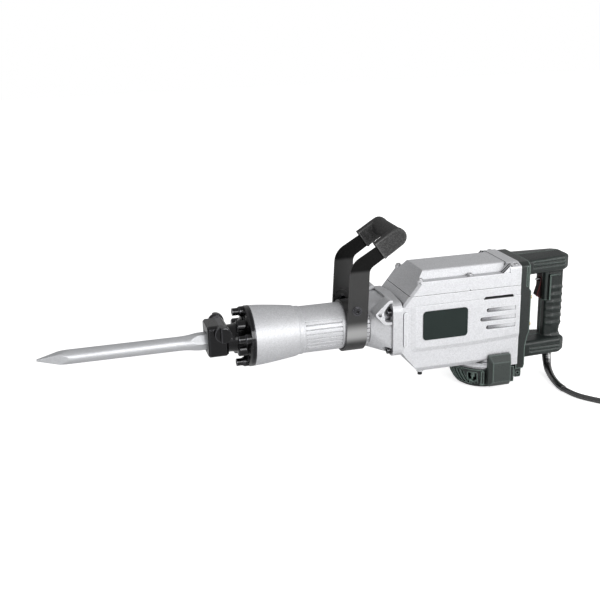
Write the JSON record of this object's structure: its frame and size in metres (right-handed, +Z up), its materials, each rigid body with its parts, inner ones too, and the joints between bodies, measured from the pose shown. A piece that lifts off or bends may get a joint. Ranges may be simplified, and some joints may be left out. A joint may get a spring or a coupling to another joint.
{
  "type": "electric jackhammer",
  "caption": "Electric demolition hammer with point chisel, flanged tool holder, silver cast housing, swivelling side handle and D-shaped rear handle with trigger.",
  "frame": {"origin": "centre of the foot of the tail cover, where the tool stands with its chisel level", "axes": "+X from the chisel towards the rear handle along the chisel's axis, +Z up, -Y the side that the picture shows"},
  "size_m": [1.264, 0.4, 0.348],
  "materials": {
    "holder_steel": "black oxide, semi-gloss",
    "bright_steel": "ground and polished",
    "cast_silver": "fine metallic silver paint on cast aluminium",
    "black_screw": "black oxide",
    "plain_screw": "zinc plated",
    "label": "bare plate, satin",
    "dark_plastic": "dark green-grey moulded plastic",
    "strap_black": "satin black powder coat",
    "grip_rubber": "moulded rubber",
    "trigger_red": "dark red plastic",
    "switch_black": "moulded plastic",
    "machined_steel": "machined",
    "hard_steel": "hardened and ground",
    "copper": "copper winding",
    "brush_brass": "stamped brass",
    "carbon": "carbon block",
    "cord_rubber": "smooth rubber sheath"
  },
  "bodies": {
    "frame": {"tool_holder": "holder_steel", "holder_bolts": "black_screw", "front_casing": "cast_silver", "cylinder_case": "cast_silver", "case_bolts": "black_screw", "motor_housing": "cast_silver", "crank_cover": "cast_silver", "cover_screws": "plain_screw", "label_plate": "label", "drain_screw": "black_screw", "tail_cover": "dark_plastic", "tail_screws": "black_screw", "brush_cover_left": "dark_plastic", "brush_cover_right": "dark_plastic", "handle_base": "dark_plastic", "base_screws": "plain_screw", "handle_left": "dark_plastic", "handle_right": "dark_plastic", "switch_block": "switch_black", "hammer_sleeve": "machined_steel", "cushion_ring": "grip_rubber", "cylinder": "hard_steel", "crank_bearings": "bright_steel", "intermediate_bearings": "bright_steel", "armature_bearings": "bright_steel", "stator": "machined_steel", "field_coils": "copper", "brush_holders": "brush_brass", "carbon_brushes": "carbon", "cord_guard": "cord_rubber", "cord": "cord_rubber", "cord_coil": "cord_rubber", "plug": "cord_rubber"},
    "chisel": {"chisel": "bright_steel"},
    "locking_bar": {"locking_bar": "holder_steel"},
    "side_handle": {"side_strap": "strap_black", "strap_saddle": "strap_black", "strap_bolts": "black_screw", "side_grip": "grip_rubber"},
    "trigger": {"trigger": "trigger_red"},
    "lock_pin": {"lock_pin": "bright_steel"},
    "impact_bolt": {"impact_bolt": "hard_steel"},
    "ram": {"ram": "hard_steel"},
    "piston": {"piston": "machined_steel", "piston_ring": "hard_steel", "wrist_pin": "hard_steel"},
    "connecting_rod": {"connecting_rod": "machined_steel", "crank_pin": "hard_steel"},
    "crank": {"crankshaft": "machined_steel", "crank_gear": "hard_steel"},
    "intermediate": {"intermediate_gear": "hard_steel"},
    "armature": {"armature": "machined_steel", "commutator": "copper", "fan": "switch_black"}
  },
  "joints": [
    {"name": "chisel_slide", "type": "slide", "parent": "frame", "child": "chisel", "axis": [1, 0, 0], "range_m": [0, 0.015]},
    {"name": "locking_bar_turn", "type": "hinge", "parent": "frame", "child": "locking_bar", "pos_m": [-0.54, 0, 0.175], "axis": [0, 1, 0], "range_deg": [0, 180]},
    {"name": "side_handle_swivel", "type": "hinge", "parent": "frame", "child": "side_handle", "pos_m": [-0.285, 0, 0.152], "axis": [1, 0, 0], "range_deg": [-180, 180]},
    {"name": "trigger_pull", "type": "hinge", "parent": "frame", "child": "trigger", "pos_m": [0.135, 0, 0.21], "axis": [0, -1, 0], "range_deg": [0, 8], "stiffness_Nm_per_rad": 1.5, "springref_deg": -5.73},
    {"name": "lock_pin_press", "type": "slide", "parent": "frame", "child": "lock_pin", "axis": [1, 0, 0], "range_m": [0, 0.004], "stiffness_N_per_m": 600, "springref_m": -0.002},
    {"name": "impact_bolt_slide", "type": "slide", "parent": "frame", "child": "impact_bolt", "axis": [1, 0, 0], "range_m": [-0.008, 0.004]},
    {"name": "ram_slide", "type": "slide", "parent": "frame", "child": "ram", "axis": [1, 0, 0], "range_m": [-0.0265, 0]},
    {"name": "piston_slide", "type": "slide", "parent": "frame", "child": "piston", "axis": [1, 0, 0], "range_m": [0, 0.034]},
    {"name": "rod_swing", "type": "hinge", "parent": "piston", "child": "connecting_rod", "pos_m": [-0.2615, 0, 0.152], "axis": [0, 0, 1], "range_deg": [-7, 7]},
    {"name": "armature_spin", "type": "hinge", "parent": "frame", "child": "armature", "pos_m": [0, 0, 0.152], "axis": [0, 0, 1], "continuous": true},
    {"name": "intermediate_spin", "type": "hinge", "parent": "frame", "child": "intermediate", "pos_m": [-0.0465, 0, 0.152], "axis": [0, 0, 1], "continuous": true},
    {"name": "crank_spin", "type": "hinge", "parent": "frame", "child": "crank", "pos_m": [-0.1065, 0, 0.152], "axis": [0, 0, 1], "continuous": true}
  ],
  "couplings": [
    {"joint": "intermediate_spin", "follows": "armature_spin", "ratio": -0.24},
    {"joint": "crank_spin", "follows": "armature_spin", "ratio": 0.073043}
  ]
}
